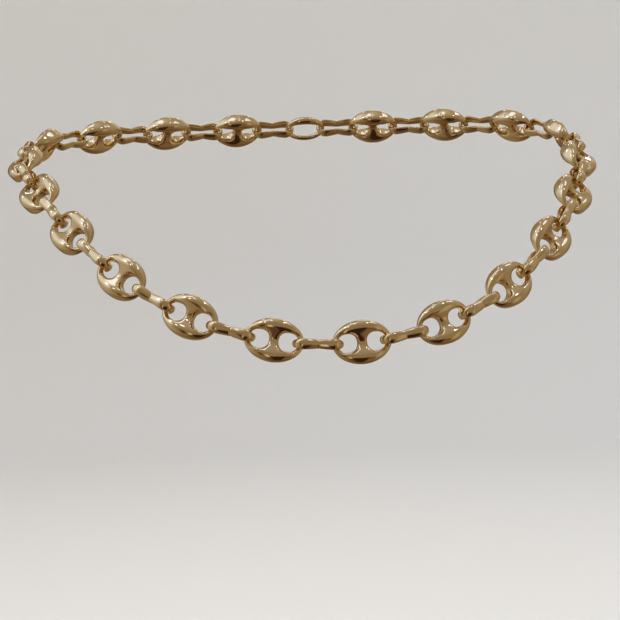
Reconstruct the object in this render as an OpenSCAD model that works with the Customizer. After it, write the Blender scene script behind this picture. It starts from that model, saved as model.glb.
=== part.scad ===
// Coffee bean chain: puffed oval bean links joined by slim connector links, in its worn form.
// Millimetres, +Z up. The origin is the middle of the loop's opening. The front of the chain lies towards -Y
// and its back towards +Y.

/* [Chain] */
// Bean links in the whole chain
bean_count = 20; // [17:1:22]
// How far the clasp has slid round from the middle of the back
clasp_slide = -5.9; // [-11:0.1:11]
// Running gap between the end wires of two links that hold each other
link_gap = 0.3; // [0.26:0.01:0.34]

/* [Bean link] */
// Length of a bean along the chain
bean_l = 15; // [14.4:0.1:15.6]
// Width of a bean across the chain
bean_w = 11; // [10:0.1:12.5]
// Depth of a bean over the crest of its side lobes
bean_d = 5; // [4:0.1:6]
// Depth of the crossbar between the two holes
bar_d = 2.2; // [1.8:0.1:3.2]
// Width of the crossbar at its narrowest
bar_w = 2.4; // [2:0.05:2.8]
// Width of the rim round the end of a bean
rim_w = 1.5; // [1.2:0.05:1.6]
// Depth of the rim round the end of a bean
rim_d = 1.7; // [1.6:0.1:2.2]
// Height of a hole across the chain
hole_w = 4.5; // [4.1:0.1:5]

/* [Connector link] */
// Length of a connector along the chain
connector_l = 12.8; // [12:0.1:14]
// Depth of a connector over its two bars
connector_d = 5.7; // [5.5:0.1:6]
// Width of a connector at its knobs, and right at its rounded tips
connector_w = [2.75, 1.8]; // [1.6:0.05:2.9]
// Width of a connector at its soldered waist
waist_w = 2.2; // [1.6:0.05:2.6]
// How far each bar bends in towards the other at the waist
waist_pinch = 0.55; // [0:0.05:0.7]
// Thickness of the wire at the ends and along the bars
wire_t = [1.1, 1.2]; // [0.9:0.05:1.3]

/* [Clasp] */
// Length of the clasp along the chain
clasp_l = 12; // [11:0.5:16]
// Width of the clasp across the chain
clasp_w = 9.2; // [9:0.1:10]
// Thickness of the clasp at its ends, its slim side and its stout side
clasp_t = [1.1, 1.5, 2.4]; // [1:0.1:2.6]

/* [Worn loop] */
// Half width of the loop from side to side, before it is scaled to the chain's length
loop_half_w = 78.7; // [70:0.1:84]
// Half of the loop's reach from front to back, before the same scaling
loop_half_d = 64.5; // [60:0.1:72]
// How much narrower the loop is at the front than at the back
loop_taper = 9.3; // [0:0.1:12]
// How much the loop is squared
loop_square = 3.9; // [0:0.1:5]
// How far the sides of the loop lie above its front and its back
loop_saddle = 7.2; // [0:0.1:10]
// Slope of the loop up from its front to its back, in degrees
loop_slope = 24.6; // [15:0.1:35]
// How far the links face up at the front, at the sides and at the back, in degrees
face_up = [6, 49, 44]; // [0:1:60]

/* [Hidden] */
gold = "#d3b681";
bean_nodes = [for (i = [1:bean_count]) str("bean_link_", i < 10 ? "0" : "", i)];
connector_nodes = [for (i = [1:bean_count + 1]) str("connector_link_", i < 10 ? "0" : "", i)];

// Half the distance between the two points where a link meets its neighbours
bean_reach = bean_l / 2 - rim_w - link_gap / 2;
connector_reach = connector_l / 2 - wire_t[0] - link_gap / 2;
clasp_reach = clasp_l / 2 - clasp_t[0] - link_gap / 2;
pitch = 2 * (bean_reach + connector_reach);
chain_length = bean_count * pitch + 2 * (connector_reach + clasp_reach);

// Loop that the chain lies along, as a point for each angle round it from the front
function tip_back(p) =
    [p.x, p.y * cos(loop_slope) - p.z * sin(loop_slope), p.y * sin(loop_slope) + p.z * cos(loop_slope)];
function raw_loop(angle) = tip_back([
    loop_half_w * sin(angle) - loop_taper * sin(2 * angle) + loop_square * sin(3 * angle),
    -loop_half_d * cos(angle),
    -loop_saddle * cos(2 * angle)
]);

// Running length round the loop against the angle, in small steps
loop_steps = 720;
function step_angle(i) = 360 * i / loop_steps;
function step_length(i) = norm(raw_loop(step_angle(i + 1)) - raw_loop(step_angle(i)));
raw_lengths = [
    for (i = 0, run = 0; i <= loop_steps; run = run + step_length(i), i = i + 1)
        [run, step_angle(i)]
];
loop_scale = chain_length / raw_lengths[loop_steps][0];
function angle_at(run) = lookup((run - chain_length * floor(run / chain_length)) / loop_scale, raw_lengths);
function loop_at(run) = loop_scale * raw_loop(angle_at(run));

// Direction that the links face: level and square to the loop, then turned up by face_up
function unit(v) = v / norm(v);
function face_angle(angle) =
    let (end = cos(angle) > 0 ? face_up[0] : face_up[2])
    end + (face_up[1] - end) * pow(sin(angle), 2);
function outward(angle) =
    let (ahead = raw_loop(angle + 1) - raw_loop(angle - 1))
    let (level = unit([ahead.y, -ahead.x, 0]))
    let (up = face_angle(angle))
    cos(up) * level + [0, 0, sin(up)];

// Clasp, connectors and beans follow each other round the loop from clasp_run
clasp_run = chain_length / 2 + clasp_slide;
function connector_run(i) = clasp_run + clasp_reach + connector_reach + (i - 1) * pitch;
function bean_run(i) = connector_run(i) + pitch / 2;

// Sets a link on the loop: X along the chain between its two meeting points, Z the way that the link faces
module on_loop(run, reach) {
    start = loop_at(run - reach);
    finish = loop_at(run + reach);
    along = unit(finish - start);
    rough = outward(angle_at(run));
    out = unit(rough - (rough * along) * along);
    across = cross(out, along);
    middle = (start + finish) / 2;
    multmatrix([
        [along.x, across.x, out.x, middle.x],
        [along.y, across.y, out.y, middle.y],
        [along.z, across.z, out.z, middle.z],
        [0, 0, 0, 1]
    ])
        children();
}

// Bean link. A quarter of its upper face is a net of lines, each from the edge of a hole out to the rim or to
// the middle plane of the crossbar, and seven mirrored copies of the net close the shape.
hole_l = bean_l / 2 - rim_w - bar_w / 2;
hole_x = bar_w / 2 + hole_l / 2;
outline_power = 1.95;
hole_power = 2.4;
// Radius of a hole's edge at the crossbar, along the lobes and at the end rim
hole_round = [0.7, 0.35, 1];
edge_round = 3.2;
edge_power = 3.6;
lens_power = 2.2;
lobe_blend_w = 3.9;
net_lines = 8;
rim_lines = 4;
net_places = [0, 0.1, 0.42, 0.85, 1];
// Raises the flat facets so that a bean holds as much metal as a round one
crest_gain = 1.08;

function soft_step(v) = let (s = min(max(v, 0), 1)) s * s * (3 - 2 * s);
function rounding(depth, radius, power) =
    let (s = min(max(depth / radius, 0), 1))
    pow(1 - pow(1 - s, power), 1 / power);
// Point of an oval whose power is 2 for an ellipse and more for a squarer one
function bent(v, power) = sign(v) * pow(abs(v), 2 / power);
function oval_point(turn, half_l, half_w, power) =
    [half_l * bent(cos(turn), power), half_w * bent(sin(turn), power)];
function hole_point(k) =
    [hole_x, 0] + oval_point(180 * k / net_lines, hole_l / 2, hole_w / 2, hole_power);
function rim_point(k) = oval_point(90 * k / rim_lines, bean_l / 2, bean_w / 2, outline_power);
function bar_point(k) = [0, bean_w / 2 * (net_lines - k) / (net_lines - rim_lines)];
function outer_point(k) = k <= rim_lines ? rim_point(k) : bar_point(k);
function hole_depth(p, side) =
    let (q = [abs(p.x - side * hole_x) / (hole_l / 2), abs(p.y) / (hole_w / 2)])
    (pow(pow(q.x, hole_power) + pow(q.y, hole_power), 1 / hole_power) - 1) * (hole_l + hole_w) / 4;
function hole_radius(p) =
    let (off = (abs(p.x) - hole_x) / (hole_l / 2))
    let (end = off > 0 ? hole_round[2] : hole_round[0])
    hole_round[1] + (end - hole_round[1]) * soft_step(abs(off));
function rim_depth(p) =
    let (q = [2 * abs(p.x) / bean_l, 2 * abs(p.y) / bean_w])
    (1 - pow(pow(q.x, outline_power) + pow(q.y, outline_power), 1 / outline_power)) * bean_w / 2;
function crest(p) =
    let (lens = 1 - pow(2 * abs(p.x) / bean_l, lens_power))
    let (lobe = rim_d + (bean_d - rim_d) * lens)
    let (low = rim_d + (bar_d - rim_d) * lens)
    (low + (lobe - low) * soft_step(abs(p.y) / lobe_blend_w)) / 2;
function bean_height(p) =
    crest_gain * crest(p) * rounding(rim_depth(p), edge_round, edge_power)
        * rounding(hole_depth(p, 1), hole_radius(p), 2) * rounding(hole_depth(p, -1), hole_radius(p), 2);
function net_point(k, place) =
    let (p = hole_point(k) + place * (outer_point(k) - hole_point(k)))
    let (edge = place == 0 || (place == 1 && k <= rim_lines))
    [k == net_lines && place == 1 ? 0 : p.x, k == 0 || k == net_lines ? 0 : p.y, edge ? 0 : bean_height(p)];

module bean_link(i) {
    rows = len(net_places);
    net = [for (k = [0:net_lines]) for (place = net_places) net_point(k, place)];
    sides = [for (x = [1, -1]) for (y = [1, -1]) for (z = [1, -1]) [x, y, z]];
    points = [for (s = sides) for (p = net) [s.x * p.x + 0, s.y * p.y + 0, s.z * p.z + 0]];
    faces = [
        for (m = [0:len(sides) - 1])
            for (k = [0:net_lines - 1])
                for (r = [0:rows - 2])
                    let (a = m * len(net) + k * rows + r)
                    let (corners = [a, a + 1, a + rows + 1, a + rows])
                    let (turned = sides[m].x * sides[m].y * sides[m].z > 0)
                    for (t = [[0, 1, 2], [0, 2, 3]])
                        [for (c = turned ? [t[2], t[1], t[0]] : t) corners[c]]
    ];
    color(gold)
        on_loop(bean_run(i), bean_reach)
            polyhedron(points = points, faces = faces, convexity = 6);
}

// Ring of one wire. Each station holds a point of the wire's centre line, the direction out of the ring
// there, and the wire's thickness that way and its width along the ring's axis.
wire_sides = 6;
side_fill = cos(180 / wire_sides);
module wire_ring(stations, axis) {
    count = len(stations);
    points = [
        for (s = stations)
            for (j = [0:wire_sides - 1])
                let (turn = 360 * j / wire_sides)
                s[0] + cos(turn) * s[2] / 2 * s[1] + sin(turn) * s[3] / 2 / side_fill * axis
    ];
    faces = [
        for (i = [0:count - 1])
            for (j = [0:wire_sides - 1])
                let (next = (i + 1) % count)
                let (beside = (j + 1) % wire_sides)
                let (a = i * wire_sides + j)
                let (b = i * wire_sides + beside)
                let (c = next * wire_sides + beside)
                let (d = next * wire_sides + j)
                for (t = [[a, b, c], [a, c, d]])
                    t
    ];
    polyhedron(points = points, faces = faces, convexity = 6);
}

// Connector link: two bars joined by half-round ends, standing square to the beans
end_steps = 6;
module connector_link(i) {
    bar_z = connector_d / 2 - wire_t[1] / 2;
    end_x = connector_l / 2 - wire_t[0] / 2 - bar_z;
    function end_station(turn, side) =
        let (out = [side * cos(turn), 0, side * sin(turn)])
        let (bar = pow(sin(turn), 2))
        let (t = wire_t[0] + (wire_t[1] - wire_t[0]) * bar)
        let (w = connector_w[1] + (connector_w[0] - connector_w[1]) * bar)
        [[side * end_x, 0, 0] + bar_z * out, out, t, w];
    function waist_station(side) = [[0, 0, side * (bar_z - waist_pinch)], [0, 0, side], wire_t[1], waist_w];
    right = [for (k = [0:end_steps]) end_station(180 * k / end_steps - 90, 1)];
    left = [for (k = [0:end_steps]) end_station(180 * k / end_steps - 90, -1)];
    color(gold)
        on_loop(connector_run(i), connector_reach)
            wire_ring(concat(right, [waist_station(1)], left, [waist_station(-1)]), [0, -1, 0]);
}

// Clasp: a closed oval ring, stouter along the side that would hold a spring, in the plane of the beans
clasp_sides = 16;
module plain_clasp() {
    stations = [
        for (k = [0:clasp_sides - 1])
            let (turn = 360 * k / clasp_sides)
            let (side_t = sin(turn) > 0 ? clasp_t[2] : clasp_t[1])
            let (t = clasp_t[0] + (side_t - clasp_t[0]) * pow(sin(turn), 2))
            let (out = unit([cos(turn) / clasp_l, sin(turn) / clasp_w, 0]))
            let (centre = [(clasp_l - clasp_t[0]) / 2 * cos(turn), (clasp_w - side_t) / 2 * sin(turn), 0])
            [centre, out, t, max(t, clasp_t[1])]
    ];
    color(gold)
        on_loop(clasp_run, clasp_reach)
            wire_ring(stations, [0, 0, 1]);
}

for (i = [1:bean_count])
    bean_link(i);
for (i = [1:bean_count + 1])
    connector_link(i);
plain_clasp();
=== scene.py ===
"""Coffee bean chain in polished yellow gold, in its worn form, in a plain pale studio.

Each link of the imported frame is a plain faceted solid. This script reads where each one sits from the solid
itself, and sets a finely modelled, mirror-polished link in its place. The links, their finish and the camera
are given in millimetres, and the studio in metres.
"""
import logging
import math
from dataclasses import dataclass
from enum import Enum

import bpy
import numpy as np
from mathutils import Matrix, Vector


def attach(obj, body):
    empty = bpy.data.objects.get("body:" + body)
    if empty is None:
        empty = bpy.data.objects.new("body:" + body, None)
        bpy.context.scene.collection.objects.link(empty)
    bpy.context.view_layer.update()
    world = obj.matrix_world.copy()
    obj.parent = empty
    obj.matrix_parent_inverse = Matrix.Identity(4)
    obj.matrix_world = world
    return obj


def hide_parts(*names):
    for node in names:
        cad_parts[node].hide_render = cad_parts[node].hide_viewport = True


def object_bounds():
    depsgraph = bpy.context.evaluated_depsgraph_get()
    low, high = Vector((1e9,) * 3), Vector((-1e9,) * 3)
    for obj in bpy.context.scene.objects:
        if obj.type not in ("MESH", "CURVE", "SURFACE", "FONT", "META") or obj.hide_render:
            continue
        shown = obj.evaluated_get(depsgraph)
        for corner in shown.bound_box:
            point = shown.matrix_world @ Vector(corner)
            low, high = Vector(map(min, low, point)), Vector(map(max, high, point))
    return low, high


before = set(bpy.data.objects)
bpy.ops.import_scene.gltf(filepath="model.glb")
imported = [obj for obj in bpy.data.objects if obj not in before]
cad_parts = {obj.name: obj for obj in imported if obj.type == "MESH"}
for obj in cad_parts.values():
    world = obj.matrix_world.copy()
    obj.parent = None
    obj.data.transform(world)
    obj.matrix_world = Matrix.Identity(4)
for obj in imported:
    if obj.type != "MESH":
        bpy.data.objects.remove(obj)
CAD_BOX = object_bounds()

LOG = logging.getLogger("coffee_bean_chain")
MM = 0.001
# Corners that agree to this many decimals of a millimetre are one corner
CORNER_DECIMALS = 5
# Power of an oval that is an ellipse, and of an edge that is a quarter circle
ROUND_POWER = 2
# Degrees from the horizon to straight up, and from the front of the chain to its back
STRAIGHT_UP = 90.0
HALF_TURN = 180.0


class LinkKind(Enum):
    """Kind of link, as the start of its node's name."""

    BEAN = "bean_link"
    CONNECTOR = "connector_link"
    CLASP = "plain_clasp"


def linear(hex_colour: str) -> tuple[float, float, float, float]:
    """Turn an sRGB hex colour into linear red, green, blue and alpha.

    Args:
        hex_colour: Colour such as "#d3b681".

    Returns:
        The colour as four linear numbers, with an alpha of 1.
    """
    channels = [int(hex_colour[i : i + 2], 16) / 255 for i in (1, 3, 5)]
    red, green, blue = (c / 12.92 if c <= 0.04045 else ((c + 0.055) / 1.055) ** 2.4 for c in channels)
    return red, green, blue, 1.0


def add_node(
    tree: bpy.types.NodeTree, kind: str, inputs: dict[str | int, object] | None = None, **properties: object
) -> bpy.types.Node:
    """Add one node, set its properties, and link or set its inputs.

    Args:
        tree: Node tree that the node goes into.
        kind: Blender's name for the node's type.
        inputs: Output socket that feeds an input, or the input's value, by the input's name or number.
        properties: Values of the node's own properties.

    Returns:
        The new node.
    """
    node = tree.nodes.new(kind)
    for name, value in properties.items():
        setattr(node, name, value)
    for key, value in (inputs or {}).items():
        if isinstance(value, bpy.types.NodeSocket):
            tree.links.new(value, node.inputs[key])
        else:
            node.inputs[key].default_value = value
    return node


def direction(azimuth: float, elevation: float) -> Vector:
    """Give the unit vector towards a place round the chain.

    Args:
        azimuth: Degrees round from the front of the chain, -Y, towards +X.
        elevation: Degrees above the horizon.

    Returns:
        The vector from the chain to that place.
    """
    turn, lift = math.radians(azimuth), math.radians(elevation)
    return Vector((math.sin(turn) * math.cos(lift), -math.cos(turn) * math.cos(lift), math.sin(lift)))


@dataclass(frozen=True)
class PolishedGold:
    """Yellow gold of 14 carats, pressed, soldered and buffed on a wheel to a mirror.

    The buffing leaves a mirror that is very slightly wavy, so reflections have soft, bending edges. Handling
    leaves faint patches that are a little less glossy.
    """

    colour: str = "#ead5a8"
    warm_colour: str = "#e9cd99"
    tint_patch: float = 4.0
    tint_detail: float = 2.0
    # Roughness of the clean mirror and of the handled patches, and the stretch of the noise between them
    gloss: tuple[float, float] = (0.035, 0.085)
    handling_span: tuple[float, float] = (0.35, 0.7)
    handling_patch: float = 2.2
    handling_detail: float = 4.0
    wave_length: float = 3.4
    wave_depth: float = 0.004

    def material(self) -> bpy.types.Material:
        """Build the gold.

        Returns:
            The new material.
        """
        made = bpy.data.materials.new("polished_gold_14k")
        made.use_nodes = True
        tree = made.node_tree
        tree.nodes.clear()
        place = add_node(tree, "ShaderNodeNewGeometry").outputs["Position"]
        # The alloy's tint drifts a little from place to place, which keeps the gold from looking painted
        tint = add_node(
            tree,
            "ShaderNodeTexNoise",
            {"Vector": place, "Scale": 1 / (self.tint_patch * MM), "Detail": self.tint_detail},
        )
        tone = add_node(
            tree,
            "ShaderNodeMix",
            {"Factor": tint.outputs["Fac"], "A": linear(self.colour), "B": linear(self.warm_colour)},
            data_type="RGBA",
        )
        # Patches dulled by handling blur what they mirror, and the clean ones keep it sharp
        handled = add_node(
            tree,
            "ShaderNodeTexNoise",
            {"Vector": place, "Scale": 1 / (self.handling_patch * MM), "Detail": self.handling_detail},
        )
        gloss = add_node(
            tree,
            "ShaderNodeMapRange",
            {
                "Value": handled.outputs["Fac"],
                "From Min": self.handling_span[0],
                "From Max": self.handling_span[1],
                "To Min": self.gloss[0],
                "To Max": self.gloss[1],
            },
        )
        # The wheel leaves slow shallow waves, which bend the edges of reflections
        wave = add_node(
            tree,
            "ShaderNodeTexNoise",
            {"Vector": place, "Scale": 1 / (self.wave_length * MM), "Detail": 0.0},
        )
        wavy = add_node(
            tree,
            "ShaderNodeBump",
            {"Height": wave.outputs["Fac"], "Strength": 1.0, "Distance": self.wave_depth * MM},
        )
        shader = add_node(
            tree,
            "ShaderNodeBsdfPrincipled",
            {
                "Base Color": tone.outputs["Result"],
                "Roughness": gloss.outputs["Result"],
                "Normal": wavy.outputs["Normal"],
                "Metallic": 1.0,
            },
        )
        add_node(tree, "ShaderNodeOutputMaterial", {"Surface": shader.outputs["BSDF"]})
        return made


@dataclass(frozen=True)
class StudioPaper:
    """Matt backdrop paper: a pale even sheet that gives no gloss."""

    colour: str = "#ecece8"
    roughness: float = 0.9
    specular: float = 0.2

    def material(self) -> bpy.types.Material:
        """Build the paper.

        Returns:
            The new material.
        """
        made = bpy.data.materials.new("studio_paper")
        made.use_nodes = True
        tree = made.node_tree
        tree.nodes.clear()
        shader = add_node(
            tree,
            "ShaderNodeBsdfPrincipled",
            {
                "Base Color": linear(self.colour),
                "Roughness": self.roughness,
                "Specular IOR Level": self.specular,
            },
        )
        add_node(tree, "ShaderNodeOutputMaterial", {"Surface": shader.outputs["BSDF"]})
        return made


@dataclass(frozen=True)
class Seat:
    """Place of a link: its middle, and the directions along the chain, across it and out of its face."""

    pose: Matrix

    @classmethod
    def of_node(cls, node: bpy.types.Object) -> "Seat":
        """Read a link's place from its solid, whose shape is the same on both sides of its middle planes.

        Args:
            node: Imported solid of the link.

        Returns:
            The link's place, with X along its longest side, Y along the next and Z along its shortest.
        """
        corners = np.array([v.co for v in node.data.vertices])
        rough = corners.mean(axis=0)
        _, axes = np.linalg.eigh(np.cov((corners - rough).T))
        axes = axes[:, ::-1]
        local = (corners - rough) @ axes
        middle = rough + axes @ ((local.max(axis=0) + local.min(axis=0)) / 2)
        # The clasp's corners lean towards its slim side, and its Y points to the stout one
        if (rough - middle) @ axes[:, 1] > 0:
            axes[:, 1] *= -1
        if np.linalg.det(axes) < 0:
            axes[:, 2] *= -1
        pose = Matrix(axes.tolist()).to_4x4()
        pose.translation = Vector(middle.tolist())
        return cls(pose)


def mesh_of(name: str, points: np.ndarray, faces: np.ndarray, gold: bpy.types.Material) -> bpy.types.Mesh:
    """Make a smooth closed mesh in which points that meet are one.

    Args:
        name: Name of the mesh.
        points: Corner points in millimetres.
        faces: Four corner numbers for each face.
        gold: Material of the mesh.

    Returns:
        The new mesh, in metres.
    """
    rounded = np.round(points, CORNER_DECIMALS)
    _, first, shared = np.unique(rounded, axis=0, return_index=True, return_inverse=True)
    shared = shared.reshape(-1)
    made = bpy.data.meshes.new(name)
    made.from_pydata((points[first] * MM).tolist(), [], shared[faces].tolist())
    made.polygons.foreach_set("use_smooth", [True] * len(made.polygons))
    made.materials.append(gold)
    made.validate()
    made.update()
    return made


def net_faces(
    rows: int,
    columns: int,
    turned: bool,
    first: int = 0,
    rows_join: bool = False,
    columns_join: bool = False,
) -> list[list[int]]:
    """List the four-cornered faces of a net of points.

    Args:
        rows: Rows of points.
        columns: Points in a row.
        turned: Whether the faces look the other way.
        first: Number of the net's first point.
        rows_join: Whether the last row joins the first one.
        columns_join: Whether the last column joins the first one.

    Returns:
        Four corner numbers for each face.
    """
    faces = []
    for row in range(rows if rows_join else rows - 1):
        for column in range(columns if columns_join else columns - 1):
            below, beside = (row + 1) % rows, (column + 1) % columns
            corners = [(row, column), (row, beside), (below, beside), (below, column)]
            face = [first + r * columns + c for r, c in corners]
            faces.append(face[::-1] if turned else face)
    return faces


@dataclass
class BeanLink:
    """Puffed oval link with two side lobes, thin end rims and a low crossbar between two holes.

    A power above ROUND_POWER makes an oval or a rounded edge squarer.
    """

    length: float = 15.0
    width: float = 11.0
    depth: float = 5.0
    bar_depth: float = 2.2
    bar_width: float = 2.4
    rim_width: float = 1.5
    rim_depth: float = 1.7
    hole_width: float = 4.5
    outline_power: float = 1.95
    hole_power: float = 2.4
    # Rounded edge of a hole at the crossbar, with its power there, along the lobes and at the end rim
    bar_round: float = 1.2
    bar_power: float = 3.6
    lobe_round: float = 0.35
    end_round: float = 1.0
    # Rounded edge of the outline
    edge_round: float = 3.2
    edge_power: float = 3.6
    # Fall of the lobes towards the ends, and distance from the middle line to their crests
    lens_power: float = 2.2
    lobe_blend: float = 3.9
    # Lines of the net round half a hole, and points along a line
    lines: int = 56
    places: int = 26

    @property
    def hole_length(self) -> float:
        """Length of a hole along the chain."""
        return self.length / 2 - self.rim_width - self.bar_width / 2

    @property
    def hole_x(self) -> float:
        """Distance of a hole's middle from the middle of the link."""
        return self.bar_width / 2 + self.hole_length / 2

    @staticmethod
    def bent(value: np.ndarray, power: float) -> np.ndarray:
        """Bend a sine or cosine so that the oval drawn with it has the given power."""
        return np.sign(value) * np.abs(value) ** (2 / power)

    @classmethod
    def oval(cls, turn: np.ndarray, length: float, width: float, power: float) -> np.ndarray:
        """Draw an oval round the link's middle.

        Args:
            turn: Angle of each point round the oval, from +X.
            length: Length of the oval along the link.
            width: Width of the oval across the link.
            power: Power of the oval.

        Returns:
            The points.
        """
        along = length / 2 * cls.bent(np.cos(turn), power)
        across = width / 2 * cls.bent(np.sin(turn), power)
        return np.stack([along, across], axis=1)

    @staticmethod
    def eased(value: np.ndarray) -> np.ndarray:
        """Give a rise from 0 to 1 that starts and ends softly."""
        share = np.clip(value, 0, 1)
        return share * share * (3 - 2 * share)

    @staticmethod
    def rounding(depth: np.ndarray, radius: float | np.ndarray, power: float | np.ndarray) -> np.ndarray:
        """Give the share of the full height at a depth inside a rounded edge."""
        share = np.clip(depth / radius, 0, 1)
        return (1 - (1 - share) ** power) ** (1 / power)

    def hole_inside(self, x: np.ndarray, y: np.ndarray, side: int) -> np.ndarray:
        """Measure how far points lie from the edge of the hole on one side.

        Args:
            x: Places along the link.
            y: Places across the link.
            side: 1 for the hole at +X, -1 for the one at -X.

        Returns:
            The distances in millimetres, from 0 at the hole's edge.
        """
        along = np.abs(x - side * self.hole_x) / (self.hole_length / 2)
        across = np.abs(y) / (self.hole_width / 2)
        reach = (along**self.hole_power + across**self.hole_power) ** (1 / self.hole_power)
        return (reach - 1) * (self.hole_length + self.hole_width) / 4

    def crest(self, x: np.ndarray, y: np.ndarray) -> np.ndarray:
        """Height of the upper face before its edges are rounded."""
        lens = 1 - np.abs(2 * x / self.length) ** self.lens_power
        lobe = self.rim_depth + (self.depth - self.rim_depth) * lens
        low = self.rim_depth + (self.bar_depth - self.rim_depth) * lens
        return (low + (lobe - low) * self.eased(np.abs(y) / self.lobe_blend)) / 2

    def height(self, x: np.ndarray, y: np.ndarray) -> np.ndarray:
        """Height of the upper face over the link's middle plane."""
        along = np.abs(2 * x / self.length) ** self.outline_power
        across = np.abs(2 * y / self.width) ** self.outline_power
        inside = (1 - (along + across) ** (1 / self.outline_power)) * self.width / 2
        off = (np.abs(x) - self.hole_x) / (self.hole_length / 2)
        end = np.where(off > 0, self.end_round, self.bar_round)
        blend = self.eased(np.abs(off))
        radius = self.lobe_round + (end - self.lobe_round) * blend
        power = ROUND_POWER + np.where(off > 0, 0, self.bar_power - ROUND_POWER) * blend
        return (
            self.crest(x, y)
            * self.rounding(inside, self.edge_round, self.edge_power)
            * self.rounding(self.hole_inside(x, y, 1), radius, power)
            * self.rounding(self.hole_inside(x, y, -1), radius, power)
        )

    def quarter(self) -> np.ndarray:
        """Work out the net over a quarter of the upper face, from the hole's edge out to the rim.

        Returns:
            A row for each line of the net, with its points from the hole outwards.
        """
        half = self.lines // 2
        turn = np.pi * np.arange(self.lines + 1) / self.lines
        hole = self.oval(turn, self.hole_length, self.hole_width, self.hole_power)
        hole[:, 0] += self.hole_x
        rim_turn = np.pi / 2 * np.arange(half + 1) / half
        rim = self.oval(rim_turn, self.length, self.width, self.outline_power)
        bar = np.stack([np.zeros(half), self.width / 2 * np.arange(half - 1, -1, -1) / half], axis=1)
        outer = np.concatenate([rim, bar])
        share = (1 - np.cos(np.pi * np.arange(self.places) / (self.places - 1))) / 2
        flat = hole[:, None, :] + share[None, :, None] * (outer - hole)[:, None, :]
        heights = self.height(flat[..., 0], flat[..., 1])
        heights[:, 0] = 0
        heights[: half + 1, -1] = 0
        net = np.concatenate([flat, heights[..., None]], axis=2)
        net[half:, -1, 0] = 0
        net[[0, -1], :, 1] = 0
        return net

    def mesh(self, gold: bpy.types.Material) -> bpy.types.Mesh:
        """Build the whole link from eight mirrored copies of its quarter.

        Args:
            gold: Material of the link.

        Returns:
            The link's mesh.
        """
        net = self.quarter()
        flat_net = net.reshape(-1, 3)
        points, faces = [], []
        for side in ((x, y, z) for x in (1, -1) for y in (1, -1) for z in (1, -1)):
            turned = side[0] * side[1] * side[2] < 0
            faces += net_faces(net.shape[0], net.shape[1], turned, first=len(points) * len(flat_net))
            points.append(flat_net * side + 0.0)
        return mesh_of("bean", np.concatenate(points), np.array(faces), gold)


@dataclass
class WireRing:
    """Closed ring of one wire, whose section changes along it. The ring's axis is Z."""

    sides: int = 24

    def swept(
        self, middle: np.ndarray, out: np.ndarray, thick: np.ndarray, wide: np.ndarray
    ) -> tuple[np.ndarray, np.ndarray]:
        """Sweep the wire round the ring.

        Args:
            middle: Points of the wire's middle line.
            out: Unit direction out of the ring at each point.
            thick: Thickness of the wire in the ring's plane.
            wide: Width of the wire along the ring's axis.

        Returns:
            The points, and four corner numbers for each face.
        """
        turn = 2 * np.pi * np.arange(self.sides) / self.sides
        outwards = np.cos(turn)[None, :, None] * (thick / 2)[:, None, None] * out[:, None, :]
        sideways = np.sin(turn)[None, :, None] * (wide / 2)[:, None, None] * np.array([0, 0, 1])
        points = middle[:, None, :] + outwards + sideways
        faces = net_faces(len(middle), self.sides, turned=True, rows_join=True, columns_join=True)
        return points.reshape(-1, 3), np.array(faces)


@dataclass
class ConnectorLink(WireRing):
    """Slim link of two bars and two half-round ends, soldered shut at the waist of each bar."""

    length: float = 12.8
    depth: float = 5.7
    knob_width: float = 2.75
    tip_width: float = 1.8
    waist_width: float = 2.2
    # How far a bar bends in at the waist, how gradually it does, and how round the bend is
    waist_pinch: float = 0.62
    waist_power: float = 1.4
    waist_round: float = 0.15
    end_wire: float = 1.1
    bar_wire: float = 1.2
    seam_depth: float = 0.07
    seam_width: float = 0.16
    end_steps: int = 24
    bar_steps: int = 15

    def mesh(self, gold: bpy.types.Material) -> bpy.types.Mesh:
        """Build the link.

        Args:
            gold: Material of the link.

        Returns:
            The link's mesh.
        """
        bar_y = self.depth / 2 - self.bar_wire / 2
        end_x = self.length / 2 - self.end_wire / 2 - bar_y
        middle, out, thick, wide = [], [], [], []
        for side in (1, -1):
            for step in range(self.end_steps + 1):
                turn = np.pi * (step / self.end_steps - 0.5)
                bar = math.sin(turn) ** 2
                away = np.array([side * math.cos(turn), side * math.sin(turn), 0])
                middle.append(np.array([side * end_x, 0, 0]) + bar_y * away)
                out.append(away)
                thick.append(self.end_wire + (self.bar_wire - self.end_wire) * bar)
                wide.append(self.tip_width + (self.knob_width - self.tip_width) * bar)
            for step in range(1, 2 * self.bar_steps):
                x = side * end_x * (1 - step / self.bar_steps)
                waist = max(1 - math.hypot(x, self.waist_round) / end_x, 0) ** self.waist_power
                groove = 2 * self.seam_depth * math.exp(-((x / (self.seam_width / 2)) ** 2))
                middle.append(np.array([x, side * (bar_y - self.waist_pinch * waist), 0]))
                out.append(np.array([0, side, 0]))
                thick.append(self.bar_wire - groove)
                wide.append(self.knob_width + (self.waist_width - self.knob_width) * waist - groove)
        points, faces = self.swept(np.array(middle), np.array(out), np.array(thick), np.array(wide))
        return mesh_of("connector", points, faces, gold)


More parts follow.
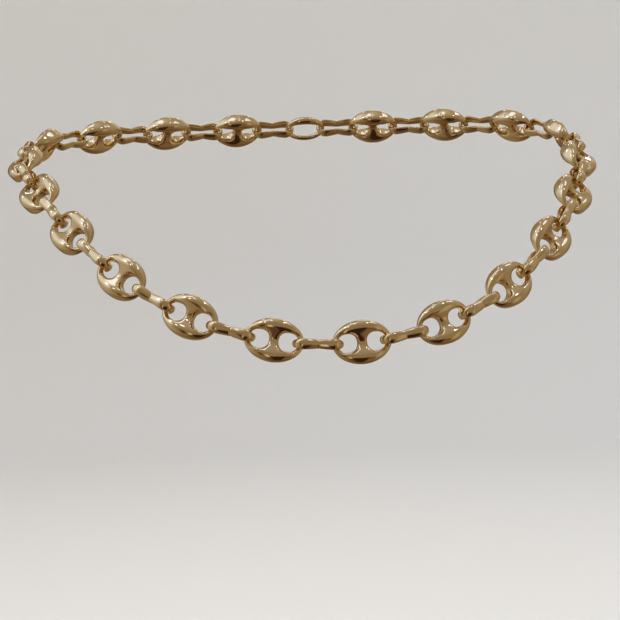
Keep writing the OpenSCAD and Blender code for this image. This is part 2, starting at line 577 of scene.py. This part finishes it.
@dataclass
class PlainClasp(WireRing):
    """Closed oval ring, stouter along one side."""

    length: float = 12.0
    width: float = 9.2
    end_wire: float = 1.1
    slim_wire: float = 1.5
    stout_wire: float = 2.4
    steps: int = 96

    def mesh(self, gold: bpy.types.Material) -> bpy.types.Mesh:
        """Build the ring.

        Args:
            gold: Material of the ring.

        Returns:
            The ring's mesh.
        """
        turn = 2 * np.pi * np.arange(self.steps) / self.steps
        side_wire = np.where(np.sin(turn) > 0, self.stout_wire, self.slim_wire)
        thick = self.end_wire + (side_wire - self.end_wire) * np.sin(turn) ** 2
        flat = np.zeros(self.steps)
        middle = np.stack(
            [
                (self.length - self.end_wire) / 2 * np.cos(turn),
                (self.width - side_wire) / 2 * np.sin(turn),
                flat,
            ],
            axis=1,
        )
        out = np.stack([np.cos(turn) / self.length, np.sin(turn) / self.width, flat], axis=1)
        out /= np.linalg.norm(out, axis=1)[:, None]
        points, faces = self.swept(middle, out, thick, np.maximum(thick, self.slim_wire))
        return mesh_of("clasp", points, faces, gold)


@dataclass
class Chain:
    """The whole chain: beans, connectors and clasp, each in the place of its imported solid."""

    beans: BeanLink
    connectors: ConnectorLink
    clasp: PlainClasp
    finish: PolishedGold

    def build(self) -> list[bpy.types.Object]:
        """Set a polished link in the place of each packed one.

        Returns:
            The new pieces.
        """
        gold = self.finish.material()
        meshes = {
            LinkKind.BEAN: self.beans.mesh(gold),
            LinkKind.CONNECTOR: self.connectors.mesh(gold),
            LinkKind.CLASP: self.clasp.mesh(gold),
        }
        pieces = []
        for name in sorted(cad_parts):
            kind = next(k for k in LinkKind if name.startswith(k.value))
            piece = bpy.data.objects.new(f"polished_{name}", meshes[kind])
            bpy.context.scene.collection.objects.link(piece)
            piece.matrix_world = Seat.of_node(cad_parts[name]).pose
            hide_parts(name)
            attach(piece, "root")
            LOG.info("%s: %d faces", piece.name, len(piece.data.polygons))
            pieces.append(piece)
        return pieces


@dataclass(frozen=True)
class Softbox:
    """Square studio light that looks at the chain.

    Its place is in degrees, its distance and size are in metres, and its power is in watts.
    """

    name: str
    azimuth: float
    elevation: float
    distance: float
    size: float
    power: float
    colour: str


@dataclass(frozen=True)
class Reflected:
    """Soft-edged upright patch of the room, which only the polished gold shows.

    Its place and its size are in degrees round the chain. Its colour is linear and may be brighter than 1.
    """

    name: str
    azimuth: float
    elevation: float
    half_width: float
    half_height: float
    blur: float
    colour: tuple[float, float, float]


@dataclass(frozen=True)
class Glint:
    """Small round lamp of the room, which only the polished gold shows.

    Its place and its radius are in degrees. It fades over a share of its radius on both sides of its edge.
    """

    azimuth: float
    elevation: float
    radius: float
    strength: float
    daylight: tuple[float, float, float] = (0.85, 0.98, 1.45)
    fade: float = 0.3


@dataclass
class Studio:
    """Pale paper cove, soft lights, and the room that the gold reflects. Distances are in metres."""

    paper: StudioPaper
    floor_z: float = -0.45
    floor_reach: float = 2.2
    cove_round: float = 0.8
    wall_top: float = 4.0
    cove_sides: int = 96
    cove_steps: int = 16
    # Name, azimuth, elevation, distance, size, power and colour
    lights: tuple[Softbox, ...] = (
        Softbox("key", -48, 34, 1.5, 0.9, 18, "#fff6ec"),
        Softbox("fill", 58, 24, 1.9, 1.2, 14, "#f6f7ff"),
        Softbox("top", 10, 82, 1.8, 1.6, 5, "#fffaf2"),
        Softbox("back", 175, 40, 2.0, 1.2, 9, "#fffaf2"),
    )
    # Elevation, and the room's plain colour there
    heights: tuple[tuple[float, tuple[float, float, float]], ...] = (
        (-90, (0.12, 0.072, 0.04)),
        (-62, (0.15, 0.096, 0.055)),
        (-42, (0.24, 0.172, 0.115)),
        (-14, (0.32, 0.254, 0.172)),
        (8, (0.30, 0.244, 0.176)),
        (32, (0.275, 0.224, 0.156)),
        (68, (0.40, 0.35, 0.315)),
        (90, (0.56, 0.53, 0.51)),
    )
    # Name, azimuth, elevation, half width, half height, blur and colour
    room: tuple[Reflected, ...] = (
        Reflected("floor by the window", -128, -54, 30, 18, 14, (0.29, 0.215, 0.145)),
        Reflected("window wall", -112, 0, 44, 22, 18, (0.47, 0.425, 0.37)),
        Reflected("window", -99, 42, 35, 24, 14, (0.80, 0.88, 1.08)),
        Reflected("bright pane", -70, 47, 11, 17, 9, (1.02, 1.12, 1.40)),
        Reflected("skylight", -72, 78, 26, 12, 9, (1.08, 1.22, 1.68)),
        Reflected("white blind", -42, 56, 9, 17, 7, (0.46, 0.44, 0.42)),
        Reflected("room, far left", -36, -4, 12, 24, 9, (0.235, 0.175, 0.115)),
        Reflected("door post", -38, -4, 6, 14, 4, (0.08, 0.048, 0.03)),
        Reflected("side wall", 100, 40, 32, 30, 16, (0.395, 0.345, 0.29)),
        Reflected("side wall, low", 112, -6, 14, 13, 8, (0.24, 0.18, 0.10)),
        Reflected("light behind", 142, 30, 9, 16, 8, (0.56, 0.51, 0.46)),
        Reflected("window behind", 166, 34, 11, 22, 5, (0.84, 0.88, 1.0)),
        Reflected("room behind", -158, -8, 17, 22, 7, (0.17, 0.12, 0.075)),
        Reflected("red wood, upper", 9, -6, 14, 9, 4, (0.225, 0.135, 0.09)),
        Reflected("red wood", 31, -22, 13, 12, 3, (0.18, 0.09, 0.045)),
        Reflected("red wood, low", 32, -46, 14, 14, 4, (0.20, 0.13, 0.075)),
        Reflected("dark screen, edge", -25, -46, 9, 22, 4, (0.11, 0.06, 0.04)),
        Reflected("dark screen", 2, -40, 19, 31, 3, (0.032, 0.017, 0.012)),
        Reflected("far window", -22, -9, 4, 12, 2.5, (0.68, 0.62, 0.56)),
        Reflected("pale wall", 52, -4, 9, 22, 6, (0.45, 0.39, 0.29)),
    )
    # Azimuth, elevation, radius and strength
    glints: tuple[Glint, ...] = (
        Glint(-130, 36, 2.6, 4.0),
        Glint(-70, 80, 7.5, 1.4),
        Glint(-66, 52, 2.8, 6.0),
        Glint(-42, 50, 2.4, 4.0),
        Glint(-20, 66, 2.4, 3.2),
        Glint(46, 58, 2.7, 6.0),
        Glint(84, 60, 2.6, 4.5),
        Glint(98, 56, 8.0, 1.3),
        Glint(150, 40, 2.8, 4.0),
        Glint(-164, 50, 2.6, 4.5),
    )

    def cove(self) -> None:
        """Build the floor that curves up into a round wall."""
        profile = [(0.0, self.floor_z), (self.floor_reach, self.floor_z)]
        for step in range(1, self.cove_steps + 1):
            turn = math.pi / 2 * step / self.cove_steps
            profile.append(
                (
                    self.floor_reach + self.cove_round * math.sin(turn),
                    self.floor_z + self.cove_round * (1 - math.cos(turn)),
                )
            )
        profile.append((self.floor_reach + self.cove_round, self.wall_top))
        turns = [2 * math.pi * side / self.cove_sides for side in range(self.cove_sides)]
        points = [(r * math.cos(turn), r * math.sin(turn), z) for r, z in profile for turn in turns]
        faces = net_faces(len(profile), self.cove_sides, turned=True, columns_join=True)
        made = bpy.data.meshes.new("paper_cove")
        made.from_pydata(points, [], faces)
        made.polygons.foreach_set("use_smooth", [True] * len(made.polygons))
        made.materials.append(self.paper.material())
        cove = bpy.data.objects.new("paper_cove", made)
        bpy.context.scene.collection.objects.link(cove)
        cove.visible_glossy = False

    @staticmethod
    def hang(box: Softbox, centre: Vector) -> None:
        """Hang one softbox.

        Args:
            box: The light.
            centre: Point that it looks at.
        """
        lamp = bpy.data.lights.new(box.name, "AREA")
        lamp.size = box.size
        lamp.energy = box.power
        lamp.color = linear(box.colour)[:3]
        made = bpy.data.objects.new(box.name, lamp)
        bpy.context.scene.collection.objects.link(made)
        towards = direction(box.azimuth, box.elevation)
        made.location = centre + box.distance * towards
        made.rotation_euler = towards.to_track_quat("Z", "Y").to_euler()
        made.visible_camera = False
        made.visible_glossy = False

    @staticmethod
    def painted(
        tree: bpy.types.NodeTree,
        places: tuple[bpy.types.NodeSocket, bpy.types.NodeSocket],
        patch: Reflected,
        under: bpy.types.NodeSocket,
    ) -> bpy.types.NodeSocket:
        """Paint one patch of the room.

        Args:
            tree: Node tree of the world.
            places: Azimuth and elevation of a direction, in degrees.
            patch: The patch.
            under: Colour that the patch goes over.

        Returns:
            The colour with the patch in it.
        """
        covers = []
        spans = ((patch.azimuth, patch.half_width), (patch.elevation, patch.half_height))
        for place, (middle, half) in zip(places, spans):
            off = add_node(tree, "ShaderNodeMath", {0: place, 1: middle}, operation="SUBTRACT")
            near = add_node(
                tree, "ShaderNodeMath", {0: off.outputs[0], 1: HALF_TURN, 2: -HALF_TURN}, operation="WRAP"
            )
            far = add_node(tree, "ShaderNodeMath", {0: near.outputs[0]}, operation="ABSOLUTE")
            cover = add_node(
                tree,
                "ShaderNodeMapRange",
                {"Value": far.outputs[0], "From Min": half + patch.blur, "From Max": half - patch.blur},
                interpolation_type="SMOOTHSTEP",
            )
            covers.append(cover.outputs["Result"])
        share = add_node(tree, "ShaderNodeMath", dict(enumerate(covers)), operation="MULTIPLY")
        mixed = add_node(
            tree,
            "ShaderNodeMix",
            {"Factor": share.outputs[0], "A": under, "B": (*patch.colour, 1.0)},
            data_type="RGBA",
        )
        mixed.label = patch.name
        return mixed.outputs["Result"]

    @staticmethod
    def lit(
        tree: bpy.types.NodeTree, way: bpy.types.NodeSocket, glint: Glint, under: bpy.types.NodeSocket
    ) -> bpy.types.NodeSocket:
        """Add one lamp of the room.

        Args:
            tree: Node tree of the world.
            way: Direction that is looked in.
            glint: The lamp.
            under: Colour that the lamp goes over.

        Returns:
            The colour with the lamp in it.
        """
        towards = direction(glint.azimuth, glint.elevation)
        facing = add_node(tree, "ShaderNodeVectorMath", {0: way, 1: towards}, operation="DOT_PRODUCT")
        rim, core = (math.cos(math.radians(glint.radius * r)) for r in (1 + glint.fade, 1 - glint.fade))
        share = add_node(
            tree,
            "ShaderNodeMapRange",
            {"Value": facing.outputs["Value"], "From Min": rim, "From Max": core},
            interpolation_type="SMOOTHSTEP",
        )
        light = (*(glint.strength * part for part in glint.daylight), 1.0)
        lamp = add_node(
            tree,
            "ShaderNodeMix",
            {"Factor": share.outputs["Result"], "A": under, "B": light},
            data_type="RGBA",
        )
        return lamp.outputs["Result"]

    def world(self) -> None:
        """Paint the room that the gold reflects."""
        world = bpy.data.worlds.new("studio_room")
        bpy.context.scene.world = world
        world.use_nodes = True
        tree = world.node_tree
        tree.nodes.clear()
        way = add_node(tree, "ShaderNodeTexCoord").outputs["Generated"]
        parts = add_node(tree, "ShaderNodeSeparateXYZ", {"Vector": way}).outputs
        ahead = add_node(tree, "ShaderNodeMath", {0: parts["Y"], 1: -1.0}, operation="MULTIPLY")
        turn = add_node(tree, "ShaderNodeMath", {0: parts["X"], 1: ahead.outputs[0]}, operation="ARCTAN2")
        lift = add_node(tree, "ShaderNodeMath", {0: parts["Z"]}, operation="ARCSINE")
        azimuth, elevation = (
            add_node(tree, "ShaderNodeMath", {0: angle.outputs[0]}, operation="DEGREES").outputs[0]
            for angle in (turn, lift)
        )
        share = add_node(
            tree,
            "ShaderNodeMapRange",
            {"Value": elevation, "From Min": -STRAIGHT_UP, "From Max": STRAIGHT_UP},
        )
        ramp = add_node(tree, "ShaderNodeValToRGB", {"Fac": share.outputs["Result"]})
        stops = ramp.color_ramp.elements
        # New stops start half way up, and each is then moved to its height
        while len(stops) < len(self.heights):
            stops.new(0.5)
        for stop, (height, colour) in zip(stops, self.heights):
            stop.position = (height + STRAIGHT_UP) / (2 * STRAIGHT_UP)
            stop.color = (*colour, 1.0)
        shown = ramp.outputs["Color"]
        for patch in self.room:
            shown = self.painted(tree, (azimuth, elevation), patch, shown)
        for glint in self.glints:
            shown = self.lit(tree, way, glint, shown)
        light = add_node(tree, "ShaderNodeBackground", {"Color": shown, "Strength": 1.0})
        add_node(tree, "ShaderNodeOutputWorld", {"Surface": light.outputs["Background"]})

    def build(self, centre: Vector) -> None:
        """Set up the cove, the lights and the world.

        Args:
            centre: Middle of the chain.
        """
        self.cove()
        for box in self.lights:
            self.hang(box, centre)
        self.world()


@dataclass
class PhotoCamera:
    """Camera at the photograph's viewing angle. Its places are in millimetres, as the chain's are."""

    azimuth: float = -6.414
    elevation: float = 5.419
    roll: float = -1.957
    distance: float = 510.0
    target: tuple[float, float, float] = (-1.371, 0.0, -29.861)
    focal_pixels: float = 1843.1
    frame_pixels: int = 620
    sensor: float = 36.0
    clip: tuple[float, float] = (10.0, 50_000.0)

    def build(self) -> None:
        """Make the camera and give it to the scene."""
        back = direction(self.azimuth, self.elevation)
        right = Vector((math.cos(math.radians(self.azimuth)), math.sin(math.radians(self.azimuth)), 0))
        turned = Matrix.Rotation(math.radians(self.roll), 3, back)
        right = turned @ right
        up = back.cross(right)
        lens = bpy.data.cameras.new("photo_camera")
        lens.sensor_width = self.sensor
        lens.lens = self.focal_pixels * self.sensor / self.frame_pixels
        lens.clip_start, lens.clip_end = (edge * MM for edge in self.clip)
        camera = bpy.data.objects.new("photo_camera", lens)
        bpy.context.scene.collection.objects.link(camera)
        pose = Matrix((right, up, back)).transposed().to_4x4()
        pose.translation = (Vector(self.target) + self.distance * back) * MM
        camera.matrix_world = pose
        bpy.context.scene.camera = camera


def main() -> None:
    """Build the chain and its studio, and report the pieces."""
    logging.basicConfig(level=logging.INFO, format="%(name)s: %(message)s")
    PhotoCamera().build()
    chain = Chain(BeanLink(), ConnectorLink(), PlainClasp(), PolishedGold())
    pieces = chain.build()
    LOG.info("%d links in all", len(pieces))
    Studio(StudioPaper()).build((CAD_BOX[0] + CAD_BOX[1]) / 2)
    bpy.context.scene.view_settings.view_transform = "Standard"


if __name__ == "__main__":
    main()
